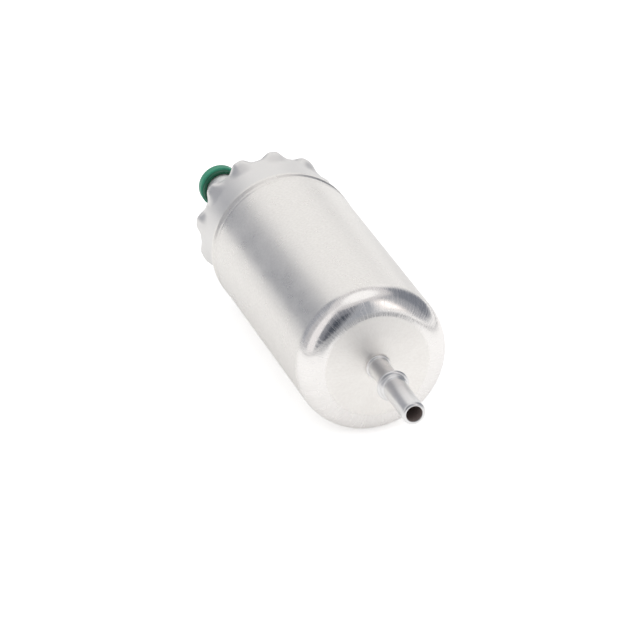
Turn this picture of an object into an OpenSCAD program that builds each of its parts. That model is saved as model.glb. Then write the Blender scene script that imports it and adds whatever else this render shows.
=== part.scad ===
// In-line electric fuel pump. The pump axis is the Y axis and the suction nipple points to -Y.
// The origin is on the axis, halfway along the straight part of the can, where its clamp sits.

/* [Can] */
// Outer diameter of the can, the size that its clamp takes
can_d = 52; // [51:0.1:54]
// Wall thickness of the can
can_wall = 1.6; // [1.4:0.1:1.8]
// Length of the straight tube, from the shoulder to the rolled groove
can_straight = 89; // [87:0.5:95]
// Outside radius of the rounded shoulder at the front
shoulder_r = 8.5; // [7.5:0.25:9]
// Slope of the shoulder where it ends in a faint crease, in degrees
crease_slope = 10; // [9:0.5:13]
// Slope of the front face between the crease and its flat middle, in degrees
face_slope = 5; // [3:0.5:7]
// Diameter of the flat middle of the front face
face_flat_d = 22; // [20:0.5:24]
// Width of the rolled groove that holds the end cover
groove_w = 4; // [3.5:0.25:5]
// Depth of the rolled groove
groove_depth = 0.9; // [0.6:0.1:1.1]
// How far the lip behind the groove stands proud of the tube
lip_rise = 0.2; // [0.1:0.05:0.3]

/* [Suction nipple] */
// Outer diameter of the nipple
nip_d = 8; // [7.5:0.1:8.6]
// Bore of the nipple
nip_bore = 6; // [5.8:0.1:6.2]
// Length of the nipple in front of the can's face
nip_len = 36.4; // [34:0.2:39]
// Distance from the nipple's tip to its collar
nip_grip = 19.2; // [18:0.2:22]
// Diameter of the collar's flange
collar_d = 11.2; // [10:0.1:12]
// Thickness of the collar's flange
collar_t = 1.6; // [1.2:0.1:2]
// Diameter of the small step in front of the collar
collar_step_d = 9.2; // [8.9:0.1:9.6]
// Length of the small step in front of the collar
collar_step_t = 1.5; // [1:0.1:2]
// Diameter of the flange that holds the nipple from inside the can
nip_flange_d = 16; // [14.5:0.5:18]
// Thickness of that flange, and of the port's flange
nip_flange_t = 1.6; // [1.2:0.1:2]
// Thickness of the seal between that flange and the can
nip_seal_t = 0.8; // [0.6:0.1:1]

/* [End cover] */
// Length of the end cover that shows behind the can
cover_out = 20.8; // [19:0.2:23]
// Length of the cover's spigot inside the can, in front of the groove
cover_spigot = 6; // [5.8:0.1:6.4]
// Wall thickness of the cover's hollow part
cover_wall = 3.8; // [3.6:0.1:4.1]
// Thickness of the cover's rear wall
cover_back = 5.5; // [5:0.25:6]
// Depth of the recess in the rear face
recess_depth = 3.8; // [3:0.2:4.5]
// Number of lobes round the rim
lobe_n = 12; // [10:1:12]
// How far the lobes stand out of the cover's cylinder
lobe_rise = 1.3; // [0.9:0.1:1.5]
// Depth of the flutes between the lobes at the rear edge
flute_depth = 2.5; // [2:0.1:2.7]
// Radius of a flute's floor
flute_r = 4.75; // [4:0.25:5.25]
// Distance from the can's lip to where the flutes start
flute_start = 14; // [12:0.5:15]
// Turn of the first lobe about the pump axis, in degrees
lobe_turn = 24; // [0:1:30]
// Thickness of the cover's O-ring
oring_t = 1.9; // [1.7:0.1:2]

/* [Pressure port] */
// Space between the port's stub and the cover's inner wall
port_in = 0.5; // [0.4:0.1:0.9]
// Direction of the port from the axis, in degrees from +X towards +Z
port_turn = 147; // [142:1:150]
// Diameter of the port's stub, through the cover and behind it
stub_d = 11.4; // [11:0.1:11.6]
// Length of the stub behind the cover's rim
stub_len = 15.8; // [14:0.2:18]
// Diameter of the stub's flange
stub_flange_d = 14.4; // [13.6:0.1:15]
// Length of the protective cap
cap_len = 5.5; // [5:0.1:8]
// Wall thickness of the protective cap
cap_wall = 1; // [0.8:0.1:1.2]
// Thickness of the protective cap's closed end
cap_end = 1.1; // [0.9:0.1:1.5]
// How far the brim at the cap's mouth stands out
cap_brim = 0.45; // [0.3:0.05:0.7]
// Width of that brim
cap_brim_w = 2; // [1.5:0.1:2.5]

/* [Pump stage] */
// Teeth on the inner gear; the outer gear has one more
gear_n = 6; // [6:1:6]
// Width of the stage ring's rim round the outer gear, where the screws pass
gear_rim = 7.8; // [7.5:0.1:8]
// Distance from the outer gear's edge to the circle of its teeth
gear_edge_in = 3.5; // [3.4:0.05:3.6]
// Radius of one round tooth of the outer gear, as a share of the radius of the tooth circle
tooth_share = 0.277; // [0.265:0.003:0.289]
// Offset between the axes of the two gears, as a share of the same radius
offset_share = 0.1154; // [0.1094:0.001:0.1184]
// Width of the gears along the axis
gear_w = 8; // [6:0.5:9]
// Thickness of the inlet plate
inlet_plate_t = 6; // [5.5:0.25:6.5]
// Thickness of the plate between the gears and the motor
base_plate_t = 8; // [7:0.5:9]
// Diameter of the stage screws
screw_d = 3.2; // [3:0.1:3.5]
// Diameter of the relief valve's ball
relief_ball_d = 4.8; // [4.5:0.1:5]

/* [Motor] */
// Diameter of the shaft
shaft_d = 8; // [7:0.1:8.2]
// Wall thickness of the steel flux ring
flux_wall = 2.1; // [1.8:0.1:2.4]
// Thickness of the magnets
magnet_t = 5.6; // [5:0.1:6]
// Angle that one magnet spans, in degrees
magnet_span = 140; // [130:2:144]
// Gap between the armature and the magnets
air_gap = 0.7; // [0.5:0.05:0.9]
// Slots in the armature, and bars on the commutator
slot_n = 12; // [8:2:14]
// Diameter of the commutator
comm_d = 15; // [14.6:0.1:15.4]
// Length of the commutator
comm_len = 8.2; // [7.8:0.1:9]
// Width of a brush, across the axis
brush_w = 6; // [5:0.25:6.5]
// Height of a brush, along the axis
brush_h = 5; // [4.5:0.25:5.2]
// How far a brush can be pushed back
brush_travel = 2; // [1.5:0.1:2.5]
// Thickness of the brush holder's disc
holder_t = 3; // [2.5:0.25:3.5]

/* [Connector] */
// Outer width of the connector's shroud
conn_w = 18; // [17:0.25:18.5]
// Outer height of the connector's shroud
conn_h = 11.5; // [11:0.25:12]
// Wall thickness of the shroud
conn_wall = 1.3; // [1:0.1:1.5]
// Length of the shroud behind the cover's rim
conn_len = 13; // [11:0.5:15]
// Width of a flat terminal
tab_w = 2.8; // [2.2:0.1:3.2]
// Thickness of a flat terminal
tab_t = 0.8; // [0.6:0.1:1]
// Distance between the two terminals
tab_pitch = 9; // [8.8:0.1:9.6]

/* [Clearances] */
// Radial gap between fixed pieces that slide together
fit_gap = 0.1; // [0.06:0.01:0.14]
// Gap between faces that are pressed together
seat_gap = 0.1; // [0.05:0.01:0.15]
// Radial running gap of shafts, gears and slides
run_gap = 0.05; // [0.03:0.01:0.08]
// Gap between moving pieces that don't bear on each other
free_gap = 0.4; // [0.3:0.05:0.5]

/* [Hidden] */
$fn = 96;

aluminium = "#c9cccf";
bright_metal = "#b9bdc2";
steel = "#8f959c";
bronze = "#b08a4a";
black = "#2a2c2f";
dark = "#44464a";
copper = "#b8703c";
cap_green = "#2f8c66";

// how far a cutting shape runs past the face that it cuts, and how far joined shapes overlap
past = 1;
lap = 0.01;

// coil springs
relief_wire = 0.5;
relief_turns = 7;
valve_wire = 0.5;
valve_turns = 4;
brush_wire = 0.45;
wire_sides = 6;
turn_steps = 12;
spring_gap = 0.1;
touch_gap = 0.03;

// can, from the axis outwards
can_r = can_d / 2;
can_ri = can_r - can_wall;
shoulder_ri = shoulder_r - can_wall;
shoulder_axis_r = can_r - shoulder_r;
face_flat_r = face_flat_d / 2;
inside_r = can_ri - fit_gap;

// can, along the axis
z_shoulder = -can_straight / 2;
z_groove = can_straight / 2;
z_lip = z_groove + groove_w;
crease_r = shoulder_axis_r + shoulder_r * sin(crease_slope);
z_crease = z_shoulder - shoulder_r * cos(crease_slope);
z_face = z_crease - (crease_r - face_flat_r) * tan(face_slope);
crease_ri = shoulder_axis_r + shoulder_ri * sin(crease_slope);
z_crease_i = z_shoulder - shoulder_ri * cos(crease_slope);
z_face_i = z_crease_i - (crease_ri - face_flat_r) * tan(face_slope);

// suction nipple
nip_r = nip_d / 2;
nip_bore_r = nip_bore / 2;
z_tip = z_face - nip_len;
z_collar = z_tip + nip_grip;
nip_fillet = 0.7;
tip_round = 0.8;
tube_mid_r = (nip_r + nip_bore_r) / 2;
z_nip_flange = z_face_i + nip_seal_t + 2 * seat_gap;
seal_inset = 0.3;

// pump stage
stage_step = 0.5;
z_inlet_plate = z_shoulder - stage_step;
z_gears = z_inlet_plate + inlet_plate_t;
z_base_plate = z_gears + gear_w;
z_motor = z_base_plate + base_plate_t;
screw_off = inside_r - 3.8;
inlet_rim_r = screw_off - 5;
inlet_rim_t = 2;
gear_side_gap = 0.06;
gear_gap = 0.06;
gear_steps = 24;
gear_crowding = 0.9;
gear_n_out = gear_n + 1;
outer_gear_r = inside_r - gear_rim;
gear_circle_r = outer_gear_r - gear_edge_in;
tooth_r = gear_circle_r * tooth_share;
gear_offset = gear_circle_r * offset_share;
inner_tip_r = gear_circle_r + gear_offset - tooth_r;
inner_root_r = gear_circle_r - gear_offset - tooth_r;
outer_root_r = inner_tip_r + gear_offset + free_gap;
relief_off = inside_r - 4.3;
relief_turn = 180;
relief_ball_r = relief_ball_d / 2;
relief_hole_r = relief_ball_r + 0.5;
relief_seat_r = 1.6;
relief_seat_t = 2.5;
z_relief_seat = z_motor - relief_seat_t;
z_relief_ball = z_relief_seat - sqrt(pow(relief_ball_r, 2) - pow(relief_seat_r, 2)) - run_gap;
relief_plug_t = 3;
relief_plug_in = 0.2;
relief_bore_r = 1.2;
z_relief_plug = z_inlet_plate + relief_plug_t;
relief_coil_r = relief_ball_r * 0.75;
port_span = 110;
port_margin = 0.3;
strainer_len = 1.6;
strainer_t = 0.6;
strainer_rim = 1.2;
strainer_pitch = (inlet_rim_r - inlet_rim_t - strainer_rim - 2.7) / 3;
strainer_hole_r = strainer_pitch * 0.34;
shaft_nose = 1;
key_w = 2;
key_in = 1;
screw_turns = [50, 130, 230, 310];
screw_head_r = screw_d * 0.9;
screw_head_t = 2.2;
screw_hex_r = 1.3;
screw_hex_t = 1.2;
screw_depth = base_plate_t - 2;

// motor
shaft_r = shaft_d / 2;
bush_wall = 2;
bush_r = shaft_r + bush_wall;
washer_t = 0.8;
rear_washer_t = 0.4;
clip_t = 1.2;
clip_play = 1.2;
end_turn_t = 5;
z_cover = z_groove - cover_spigot;
z_holder = z_cover - seat_gap - holder_t;
z_holder_back = z_holder + holder_t;
z_comm_end = z_holder - rear_washer_t - 3 * seat_gap;
z_comm = z_comm_end - comm_len;
z_core = z_motor + 7;
z_core_end = z_comm - end_turn_t - 1.5;
core_len = z_core_end - z_core;
comm_r = comm_d / 2;
comm_hub_r = comm_r - 2;
comm_hub_out = 1;
wire_out = 0.5;
bar_gap = 0.5;
flux_ri = inside_r - flux_wall;
flux_seam = 7;
flux_seam_turn = 100;
magnet_r = flux_ri - seat_gap;
magnet_ri = magnet_r - magnet_t;
magnet_over = 1.5;
core_r = magnet_ri - air_gap;
slot_out_r = core_r - 1;
slot_in_r = 8.6;
slot_w = 3.2;
slot_mouth = 1.4;
wire_gap = 0.15;

// brush holder
z_brush = (z_comm + z_comm_end) / 2;
guide_wall = 1.2;
guide_start_r = comm_r + 1.2;
guide_end_r = sqrt(pow(flux_ri - fit_gap, 2) - pow(brush_w / 2 + guide_wall, 2));
spring_end_r = guide_end_r - guide_wall;
brush_turns = 4;
brush_solid = (brush_turns + 1) * brush_wire;
brush_coil_r = brush_h / 2 - 0.6;
brush_out_r = spring_end_r - brush_solid - brush_travel - 3 * spring_gap;
window_r = 2.4;
window_off = inside_r - 7.8;
window_turns = [45, 90, 135, 225, 270, 315];
holder_hub_r = bush_r + 2.2;
rear_bush_len = 7;
hub_len = rear_bush_len + 1;
hub_play = 0.8;
shaft_play = 0.5;
z_shaft_end = z_holder_back + hub_len;
choke_r = 2;
choke_coil_r = 2.8;
choke_len = 15;
choke_coil_len = 10;
choke_turns = [232, 308];
z_choke = z_holder_back + choke_coil_r + seat_gap;

// end cover
cover_r = inside_r;
cover_ri = cover_r - cover_wall;
choke_off = (holder_hub_r + cover_ri) / 2;
z_rim = z_lip + cover_out;
z_recess = z_rim - recess_depth;
z_cavity_end = z_recess - cover_back;
rim_r = cover_r + lobe_rise;
rim_round = 1.2;
recess_r = rim_r - flute_depth - 3.6;
flare_start = 13;
cover_groove_in = 0.6;
oring_w = oring_t + 0.6;
oring_depth = oring_t + fit_gap;
z_oring = z_cover + (cover_spigot - oring_w) / 2 - 0.4;
flute_tilt = atan((flute_depth - lobe_rise) / (cover_out - flute_start));

// pressure port and its check valve
stub_r = stub_d / 2;
port_off = cover_ri - stub_r - port_in;
z_port_boss = z_rim + 0.2;
port_boss_r = stub_flange_d / 2 + 0.4;
port_seal_t = 1;
z_port_flange = z_port_boss + port_seal_t + 2 * seat_gap;
z_port_tip = z_rim + stub_len;
z_stub = z_cavity_end - 5;
valve_room_r = stub_r - 1.4;
z_valve_room_end = z_port_boss - 1.5;
valve_seat_t = 2.4;
valve_seat_r = 2;
valve_ball_r = 3.6;
valve_coil_r = nip_bore_r + valve_wire / 2 + spring_gap;
z_valve_ball = z_stub + valve_seat_t + sqrt(pow(valve_ball_r, 2) - pow(valve_seat_r, 2)) + run_gap;
valve_x = port_off * cos(port_turn);
valve_up = port_off * sin(port_turn);
z_cap_end = z_port_tip + seat_gap + cap_end;
z_cap = z_cap_end - cap_len;
cap_ri = stub_r + run_gap;
cap_round = 0.8;

// connector
conn_x = 3;
conn_up = 10.5 - recess_r;
conn_floor_t = 4.5;
conn_foot_r = 2.3;
conn_foot_play = 0.2;
conn_corner_r = 2.5;
latch_w = 5;
latch_rise = 1.4;
latch_len = 3;
latch_off = 6;
z_conn_end = z_rim + conn_len;
z_conn_floor = z_recess + seat_gap + conn_floor_t;
tab_inset = 4;
tab_tail = 5;
z_tab_end = z_conn_end - tab_inset;
z_tab_start = z_cavity_end - tab_tail;

// stands a shape that was drawn along Z on the pump axis
module along_axis() {
    rotate([-90, 0, 0]) children();
}

// a place beside the axis, given as sideways and upward distances from it
module beside(x, up) {
    translate([x, -up, 0]) children();
}

// copies a shape at each of the listed turns about the axis
module at_turns(turns) {
    for (a = turns) rotate([0, 0, -a]) children();
}

module disc(r, z0, z1) {
    translate([0, 0, z0]) cylinder(r = r, h = z1 - z0);
}

module ring(r_out, r_in, z0, z1) {
    difference() {
        disc(r_out, z0, z1);
        disc(r_in, z0 - past, z1 + past);
    }
}

// part of a ring, centred on the X axis
module ring_sector(r_out, r_in, z0, z1, span) {
    rotate([0, 0, -span / 2]) rotate_extrude(angle = span)
        translate([r_in, z0]) square([r_out - r_in, z1 - z0]);
}

// distance along the axis from a ball's centre to the end of the coil that bears on it
function ball_reach(ball_r, coil_r, wire) =
    sqrt(pow(ball_r + wire / 2 + touch_gap, 2) - pow(coil_r, 2)) - wire / 2;

// the six-sided section of a spring wire at one place on its coil
function coil_ring(r, wire, pitch, a) =
    let (lean = atan(pitch / (2 * PI * r)))
    [for (k = [0:wire_sides - 1])
        let (s = wire / 2 * cos(k * 360 / wire_sides), u = wire / 2 * sin(k * 360 / wire_sides))
        [(r + s) * cos(a) + u * sin(lean) * sin(a),
         (r + s) * sin(a) - u * sin(lean) * cos(a),
         pitch * a / 360 + u * cos(lean)]];

// a coil spring from z0 to z1, as one unbroken tube
module coil_spring(r, wire, turns, z0, z1) {
    pitch = (z1 - z0 - wire) / turns;
    rings = turns * turn_steps;
    points = [for (i = [0:rings]) each coil_ring(r, wire, pitch, i * 360 / turn_steps)];
    n = wire_sides;
    sides = [for (i = [0:rings - 1], k = [0:n - 1]) each [
        [i * n + k, (i + 1) * n + k, (i + 1) * n + (k + 1) % n],
        [i * n + k, (i + 1) * n + (k + 1) % n, i * n + (k + 1) % n]]];
    start = [for (k = [1:n - 2]) [0, k, k + 1]];
    end = [for (k = [1:n - 2]) [rings * n, rings * n + k + 1, rings * n + k]];
    translate([0, 0, z0 + wire / 2]) polyhedron(points, concat(sides, start, end));
}

// half section of a drawn can: straight side, rounded shoulder, sloping face and flat middle
module drawn_outline(side_r, round_r, crease, z_round_end, z_middle) {
    slope = tan(face_slope);
    middle_r = (shoulder_axis_r + crease) / 2;
    intersection() {
        union() {
            translate([0, z_shoulder]) square([side_r, can_straight]);
            translate([0, z_middle]) square([middle_r, z_shoulder - z_middle + past]);
            translate([shoulder_axis_r, z_shoulder]) circle(r = round_r);
        }
        polygon([[0, z_middle], [face_flat_r, z_middle],
            [side_r + past, z_round_end + (side_r + past - crease) * slope],
            [side_r + past, z_groove], [0, z_groove]]);
    }
}

module can_outline() {
    drawn_outline(can_r, shoulder_r, crease_r, z_crease, z_face);
}

module can_hollow() {
    drawn_outline(can_ri, shoulder_ri, crease_ri, z_crease_i, z_face_i);
}

// section of the rolled groove and lip, shifted inwards by in
module groove_outline(in) {
    polygon([[0, z_groove], [can_r - in, z_groove],
        [can_r - groove_depth - in, z_groove + groove_w * 0.25],
        [can_r - groove_depth - in, z_groove + groove_w * 0.5],
        [can_r + lip_rise - in, z_groove + groove_w * 0.75],
        [can_r + lip_rise - in, z_lip], [0, z_lip]]);
}

module can() {
    color(aluminium) along_axis() difference() {
        rotate_extrude() difference() {
            union() {
                can_outline();
                groove_outline(0);
            }
            union() {
                can_hollow();
                groove_outline(can_wall + lip_rise);
            }
        }
        disc(nip_r + fit_gap, z_face - past, z_face_i + past);
    }
}

// section of a tube with the nipple's bore, from its rounded tip at z = 0 towards +z
module tube_outline(r, len) {
    difference() {
        union() {
            square([r - tip_round, len]);
            translate([0, tip_round]) square([r, len - tip_round]);
            translate([r - tip_round, tip_round]) circle(r = tip_round);
        }
        translate([-past, -past]) square([nip_bore_r + past, len + 2 * past]);
    }
}

// section of the collar: a small step, then a flange with a rounded edge
module collar_outline(z) {
    bead_r = (collar_d - collar_t) / 2;
    translate([tube_mid_r, z]) square([collar_step_d / 2 - tube_mid_r, collar_step_t]);
    translate([tube_mid_r, z + collar_step_t]) square([bead_r - tube_mid_r, collar_t]);
    translate([bead_r, z + collar_step_t + collar_t / 2]) circle(r = collar_t / 2);
}

module suction_nipple() {
    color(bright_metal) along_axis() rotate_extrude() {
        translate([0, z_tip]) tube_outline(nip_r, z_nip_flange + nip_flange_t - z_tip);
        collar_outline(z_collar);
        polygon([[tube_mid_r, z_face - seat_gap], [tube_mid_r, z_face - 2 * nip_fillet],
            [nip_r, z_face - 2 * nip_fillet], [nip_r + nip_fillet, z_face - nip_fillet / 2],
            [nip_r + nip_fillet, z_face - seat_gap]]);
        translate([nip_bore_r, z_nip_flange]) square([nip_flange_d / 2 - nip_bore_r, nip_flange_t]);
    }
}

module nipple_seal() {
    color(black) along_axis()
        ring(nip_flange_d / 2 - seal_inset, nip_r + 2 * fit_gap,
            z_face_i + seat_gap, z_face_i + seat_gap + nip_seal_t);
}

// perforated disc in a rim, held in the inlet plate's front ring
module inlet_strainer() {
    r = inlet_rim_r - inlet_rim_t - fit_gap;
    z0 = z_inlet_plate - strainer_len;
    color(steel) along_axis() {
        difference() {
            disc(r, z0, z0 + strainer_t);
            for (a = [0:60:359], i = [1:3], k = [0:i - 1]) rotate([0, 0, a])
                translate([(i - k / 2) * strainer_pitch, k * strainer_pitch * sqrt(3) / 2, z0 - past])
                    cylinder(r = strainer_hole_r, h = strainer_t + 2 * past, $fn = 24);
        }
        ring(r, r - strainer_rim, z0 + strainer_t, z_inlet_plate - seat_gap);
    }
}

module stage_holes(z0, z1, r) {
    at_turns(screw_turns) translate([screw_off, 0, 0]) disc(r, z0 - past, z1 + past);
}

module relief_place() {
    rotate([0, 0, -relief_turn]) translate([relief_off, 0, 0]) children();
}

// kidney-shaped port over one side of the gears
module kidney(turn, z0, z1) {
    rotate([0, 0, -turn])
        ring_sector(inner_tip_r - port_margin, inner_root_r + port_margin, z0 - past, z1 + past, port_span);
}

module inlet_plate() {
    rim_end = z_face_i + (inlet_rim_r - face_flat_r) * tan(face_slope) + seat_gap;
    color(aluminium) along_axis() difference() {
        union() {
            disc(inside_r, z_inlet_plate, z_gears);
            ring(inlet_rim_r, inlet_rim_r - inlet_rim_t, rim_end, z_inlet_plate + lap);
        }
        stage_holes(z_inlet_plate, z_gears, screw_d / 2 + fit_gap);
        kidney(90, z_inlet_plate, z_gears);
        relief_place() disc(relief_hole_r, z_inlet_plate - past, z_gears + past);
        disc(shaft_r + free_gap, z_gears - shaft_nose - free_gap, z_gears + past);
    }
}

module stage_ring() {
    color(steel) along_axis() difference() {
        disc(inside_r, z_gears, z_base_plate);
        translate([gear_offset, 0, 0]) disc(outer_gear_r + run_gap, z_gears - past, z_base_plate + past);
        stage_holes(z_gears, z_base_plate, screw_d / 2 + fit_gap);
        relief_place() disc(relief_hole_r, z_gears - past, z_base_plate + past);
    }
}

// path of a tooth's centre round the inner gear, and the gear's own edge inside it
function tooth_path(t) = [
    gear_circle_r * cos(t) - gear_offset * cos((gear_n + 1) * t),
    gear_circle_r * sin(t) - gear_offset * sin((gear_n + 1) * t)];
function tooth_heading(t) = [
    -gear_circle_r * sin(t) + (gear_n + 1) * gear_offset * sin((gear_n + 1) * t),
    gear_circle_r * cos(t) - (gear_n + 1) * gear_offset * cos((gear_n + 1) * t)];
function gear_edge(t) =
    let (p = tooth_path(t), h = tooth_heading(t), reach = (tooth_r + gear_gap) / norm(h))
    [p[0] - h[1] * reach, p[1] + h[0] * reach];

// turn of the i-th point on the gear's edge, with the points crowded into its sharp valleys
function gear_turn(i) =
    let (a = i * 360 / (gear_n * gear_steps))
    a - gear_crowding * 180 / PI / gear_n * sin(gear_n * a);

module inner_gear() {
    color(steel) along_axis() difference() {
        translate([0, 0, z_gears + gear_side_gap]) linear_extrude(gear_w - 2 * gear_side_gap)
            polygon([for (i = [0:gear_n * gear_steps - 1]) gear_edge(gear_turn(i))]);
        disc(shaft_r + run_gap / 2, z_gears - past, z_base_plate + past);
        key_room(fit_gap / 2);
    }
}

module outer_gear() {
    color(steel) along_axis() translate([gear_offset, 0, 0]) difference() {
        disc(outer_gear_r, z_gears + gear_side_gap, z_base_plate - gear_side_gap);
        difference() {
            disc(outer_root_r, z_gears - past, z_base_plate + past);
            for (i = [0:gear_n_out - 1]) rotate([0, 0, (i + 0.5) * 360 / gear_n_out])
                translate([gear_circle_r, 0, 0]) disc(tooth_r, z_gears - 2 * past, z_base_plate + 2 * past);
        }
    }
}

module base_plate() {
    color(aluminium) along_axis() difference() {
        disc(inside_r, z_base_plate, z_motor);
        disc(bush_r + fit_gap / 2, z_base_plate - past, z_motor + past);
        stage_holes(z_base_plate, z_base_plate + screw_depth, screw_d / 2 + fit_gap / 2);
        kidney(270, z_base_plate, z_motor);
        relief_place() {
            disc(relief_hole_r, z_base_plate - past, z_relief_seat);
            disc(relief_seat_r, z_base_plate, z_motor + past);
        }
    }
}

module stage_screws() {
    z_seat = z_inlet_plate - seat_gap;
    z_head = z_seat - screw_head_t;
    color(steel) along_axis() at_turns(screw_turns) translate([screw_off, 0, 0]) difference() {
        union() {
            disc(screw_d / 2, z_seat - lap, z_base_plate + screw_depth);
            disc(screw_head_r, z_head, z_seat);
        }
        translate([0, 0, z_head - past]) cylinder(r = screw_hex_r, h = screw_hex_t + past, $fn = 6);
    }
}

module front_bush() {
    color(bronze) along_axis() ring(bush_r, shaft_r + run_gap, z_base_plate + free_gap, z_motor);
}

module relief_ball() {
    color(steel) along_axis() relief_place() translate([0, 0, z_relief_ball]) sphere(r = relief_ball_r);
}

module relief_spring() {
    color(steel) along_axis() relief_place()
        coil_spring(relief_coil_r, relief_wire, relief_turns, z_relief_plug + spring_gap,
            z_relief_ball - ball_reach(relief_ball_r, relief_coil_r, relief_wire));
}

module relief_plug() {
    color(bronze) along_axis() relief_place()
        ring(relief_hole_r - fit_gap / 2, relief_bore_r, z_inlet_plate + relief_plug_in, z_relief_plug);
}

// slot for the key between the shaft and the inner gear
module key_room(gap) {
    translate([shaft_r - key_w / 2 - gap, -key_w / 2 - gap, z_gears + key_in - gap])
        cube([key_w + 2 * gap, key_w + 2 * gap, gear_w - 2 * key_in + 2 * gap]);
}

module shaft() {
    color(steel) along_axis() difference() {
        disc(shaft_r, z_gears - shaft_nose, z_shaft_end - shaft_play);
        key_room(fit_gap / 2);
    }
}

module drive_key() {
    color(bronze) along_axis() key_room(0);
}

module slots(gap) {
    for (i = [0:slot_n - 1]) rotate([0, 0, i * 360 / slot_n])
        translate([slot_in_r + gap, -slot_w / 2 + gap, z_core - past])
            cube([slot_out_r - slot_in_r - 2 * gap, slot_w - 2 * gap, core_len + 2 * past]);
}

module armature_core() {
    color(steel) along_axis() difference() {
        disc(core_r, z_core, z_core_end);
        disc(shaft_r + fit_gap / 4, z_core - past, z_core_end + past);
        slots(0);
        for (i = [0:slot_n - 1]) rotate([0, 0, i * 360 / slot_n])
            translate([slot_out_r - past, -slot_mouth / 2, z_core - past])
                cube([core_r - slot_out_r + 2 * past, slot_mouth, core_len + 2 * past]);
    }
}

// copper in the slots, joined by a rounded bundle at each end of the core
module windings() {
    bundle_r = end_turn_t / 2 - wire_gap;
    mid_r = (slot_in_r + slot_out_r) / 2;
    color(copper) along_axis() {
        intersection() {
            slots(wire_gap);
            disc(core_r, z_core - wire_out, z_core_end + wire_out);
        }
        for (z = [z_core - wire_gap - bundle_r, z_core_end + wire_gap + bundle_r])
            translate([0, 0, z]) rotate_extrude() translate([mid_r, 0]) circle(r = bundle_r);
    }
}

module commutator_hub() {
    color(black) along_axis() ring(comm_hub_r, shaft_r + fit_gap / 4, z_comm - comm_hub_out, z_comm_end);
}

module commutator_bars() {
    bar_span = 360 / slot_n - asin(bar_gap / comm_r);
    color(copper) along_axis() for (i = [0:slot_n - 1]) rotate([0, 0, (i + 0.5) * 360 / slot_n])
        ring_sector(comm_r, comm_hub_r + fit_gap / 4, z_comm, z_comm_end, bar_span);
}

module thrust_washers() {
    z_rear = z_comm_end + seat_gap;
    color(bronze) along_axis() {
        ring(bush_r, shaft_r + run_gap / 2, z_motor + free_gap, z_motor + free_gap + washer_t);
        ring(bush_r, shaft_r + run_gap / 2, z_rear, z_rear + rear_washer_t);
    }
}

// rolled from strip, with an open seam above a gap between the magnets
module flux_ring() {
    z0 = z_motor + seat_gap;
    z1 = z_holder - seat_gap;
    color(steel) along_axis() difference() {
        ring(inside_r, flux_ri, z0, z1);
        at_turns([flux_seam_turn]) translate([flux_ri - past, -flux_seam / 2, z0 - past])
            cube([flux_wall + 2 * past, flux_seam, z1 - z0 + 2 * past]);
    }
}

module magnets() {
    color(dark) along_axis() at_turns([0, 180])
        ring_sector(magnet_r, magnet_ri, z_core - magnet_over, z_core_end + magnet_over, magnet_span);
}

// spring clips that push the magnets apart and against the flux ring
module magnet_clips() {
    color(steel) along_axis() at_turns([90, 270])
        ring_sector(magnet_r, magnet_r - clip_t, z_core, z_core_end, 180 - magnet_span - clip_play);
}

module guide_block(w, h, r0, r1) {
    translate([r0, -w / 2, z_brush - h / 2]) cube([r1 - r0, w, h]);
}

module brush_holder() {
    outer_w = brush_w + 2 * guide_wall;
    outer_h = brush_h + 2 * guide_wall;
    color(black) along_axis() difference() {
        union() {
            disc(inside_r, z_holder, z_holder_back);
            disc(holder_hub_r, z_holder, z_holder_back + hub_len - hub_play);
            for (a = [0, 180]) rotate([0, 0, a]) {
                guide_block(outer_w, outer_h, guide_start_r, guide_end_r);
                translate([guide_start_r, -outer_w / 2, z_brush])
                    cube([guide_end_r - guide_start_r, outer_w, z_holder - z_brush + lap]);
            }
        }
        disc(bush_r + fit_gap / 2, z_holder_back, z_holder_back + hub_len);
        disc(shaft_r + free_gap, z_holder - past, z_holder_back + past);
        for (a = [0, 180]) rotate([0, 0, a])
            guide_block(brush_w + 2 * run_gap, brush_h + 2 * run_gap, guide_start_r - past, spring_end_r);
        at_turns(window_turns) translate([window_off, 0, 0])
            disc(window_r, z_holder - past, z_holder_back + past);
    }
}

module rear_bush() {
    color(bronze) along_axis()
        ring(bush_r, shaft_r + run_gap, z_holder_back + seat_gap, z_holder_back + rear_bush_len);
}

module brush(turn) {
    color(dark) along_axis() rotate([0, 0, -turn]) difference() {
        guide_block(brush_w, brush_h, comm_r - past, brush_out_r);
        disc(comm_r + run_gap, z_comm - past, z_comm_end + past);
    }
}

module brush_spring(turn) {
    color(steel) along_axis() rotate([0, 0, -turn]) translate([0, 0, z_brush]) rotate([0, 90, 0])
        coil_spring(brush_coil_r, brush_wire, brush_turns,
            brush_out_r + spring_gap, spring_end_r - spring_gap);
}

module brush_left() {
    brush(180);
}

module brush_right() {
    brush(0);
}

module brush_spring_left() {
    brush_spring(180);
}

module brush_spring_right() {
    brush_spring(0);
}

module choke_place() {
    at_turns(choke_turns) translate([choke_off, 0, z_choke]) rotate([90, 0, 0]) children();
}

module choke_cores() {
    color(dark) along_axis() choke_place() disc(choke_r, -choke_len / 2, choke_len / 2);
}

module choke_coils() {
    color(copper) along_axis() choke_place()
        ring(choke_coil_r, choke_r + fit_gap / 2, -choke_coil_len / 2, choke_coil_len / 2);
}

// outside of the cover behind the can: a cylinder that flares to the rounded rim
module cover_outline() {
    translate([0, z_cover]) square([cover_r, z_lip - z_cover]);
    polygon([[0, z_lip - lap], [cover_r, z_lip - lap], [cover_r, z_lip + flare_start],
        [rim_r, z_rim - 2 * rim_round], [rim_r, z_rim - rim_round], [rim_r - rim_round, z_rim], [0, z_rim]]);
    translate([rim_r - rim_round, z_rim - rim_round]) circle(r = rim_round);
}

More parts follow.
